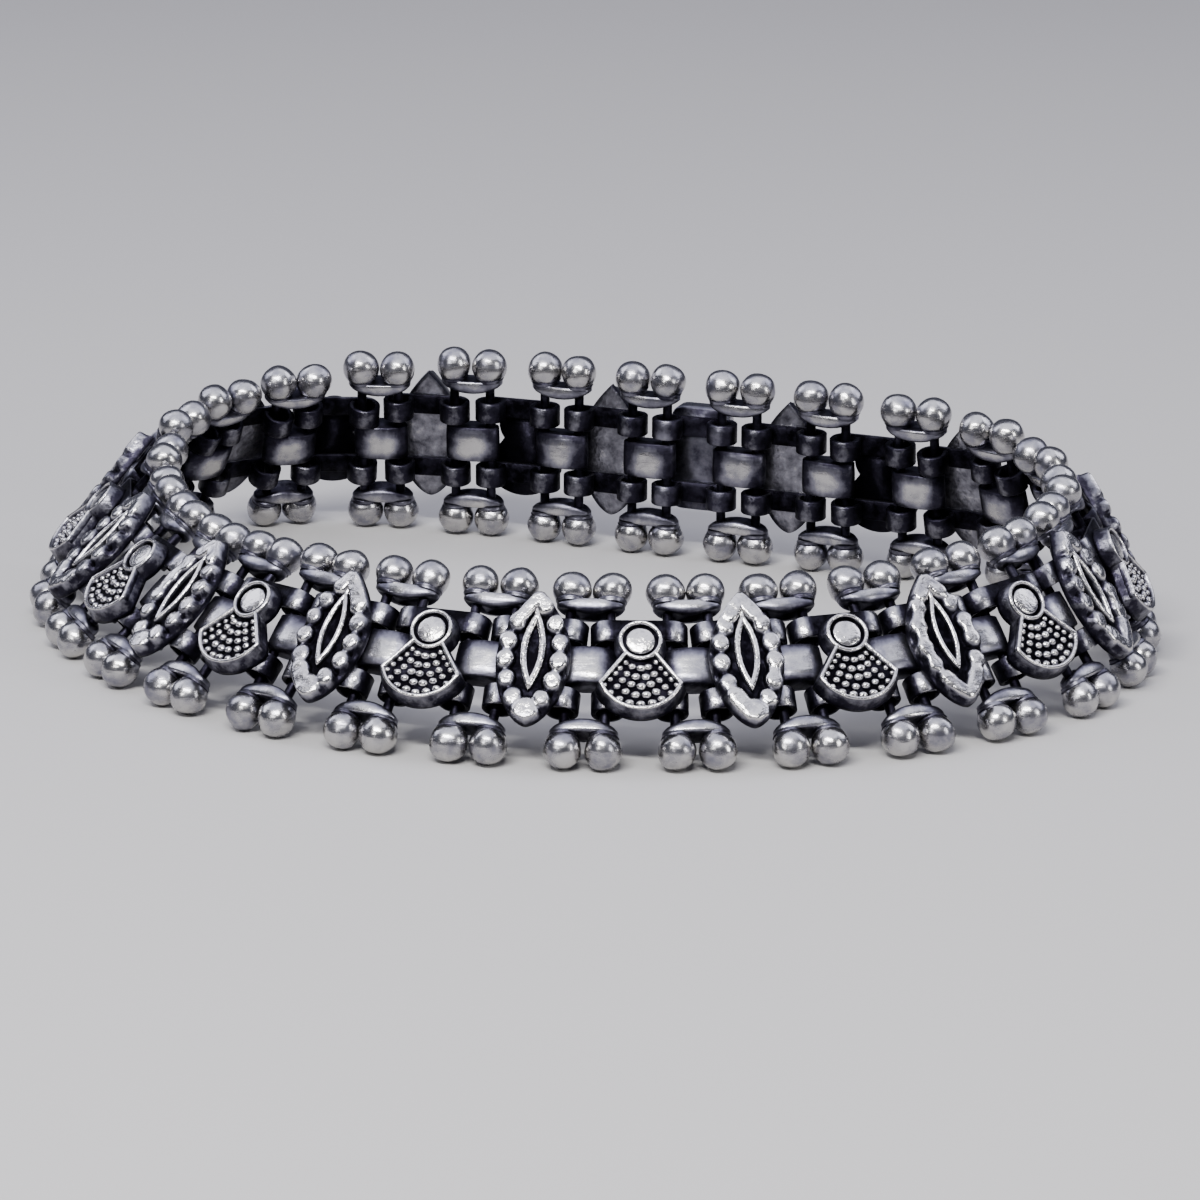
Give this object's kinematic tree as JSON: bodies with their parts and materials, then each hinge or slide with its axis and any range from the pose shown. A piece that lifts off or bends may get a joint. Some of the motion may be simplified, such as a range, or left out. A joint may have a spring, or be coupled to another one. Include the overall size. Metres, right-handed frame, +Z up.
{
  "type": "chain bracelet",
  "caption": "Oxidised silver chain bracelet of hinged pointed-oval and fan links between pairs of polished balls, closed into a loop.",
  "frame": {"origin": "centre of the bounding box in plan, at the height of the lowest balls", "axes": "+X along the longer way across the loop, +Y from the front of the loop to its clasp side, +Z up, across the band"},
  "size_m": [0.0822, 0.0616, 0.0149],
  "materials": {
    "silver_polished": "polished silver, lightly worn",
    "silver_oxidised": "oxidised silver, dark in the recesses and rubbed bright on the high spots"
  },
  "bodies": {
    "root": {"connector_01": "silver_polished", "connector_02": "silver_polished", "connector_03": "silver_polished", "connector_04": "silver_polished", "connector_05": "silver_polished", "connector_06": "silver_polished", "connector_07": "silver_polished", "connector_08": "silver_polished", "connector_09": "silver_polished", "connector_10": "silver_polished", "connector_11": "silver_polished", "connector_12": "silver_polished", "connector_13": "silver_polished", "connector_14": "silver_polished", "connector_15": "silver_polished", "connector_16": "silver_polished", "connector_17": "silver_polished", "connector_18": "silver_polished", "connector_19": "silver_polished", "connector_20": "silver_polished", "connector_21": "silver_polished", "connector_22": "silver_polished", "connector_23": "silver_polished", "connector_24": "silver_polished", "connector_25": "silver_polished", "connector_26": "silver_polished", "connector_27": "silver_polished", "connector_28": "silver_polished", "marquise_01": "silver_oxidised", "marquise_02": "silver_oxidised", "marquise_03": "silver_oxidised", "marquise_04": "silver_oxidised", "marquise_05": "silver_oxidised", "marquise_06": "silver_oxidised", "marquise_07": "silver_oxidised", "marquise_08": "silver_oxidised", "marquise_09": "silver_oxidised", "marquise_10": "silver_oxidised", "marquise_11": "silver_oxidised", "marquise_12": "silver_oxidised", "marquise_13": "silver_oxidised", "marquise_14": "silver_oxidised", "fan_01": "silver_oxidised", "fan_02": "silver_oxidised", "fan_03": "silver_oxidised", "fan_04": "silver_oxidised", "fan_05": "silver_oxidised", "fan_06": "silver_oxidised", "fan_07": "silver_oxidised", "fan_08": "silver_oxidised", "fan_09": "silver_oxidised", "fan_10": "silver_oxidised", "fan_11": "silver_oxidised", "fan_12": "silver_oxidised", "fan_13": "silver_oxidised", "clasp": "silver_polished"}
  },
  "joints": []
}
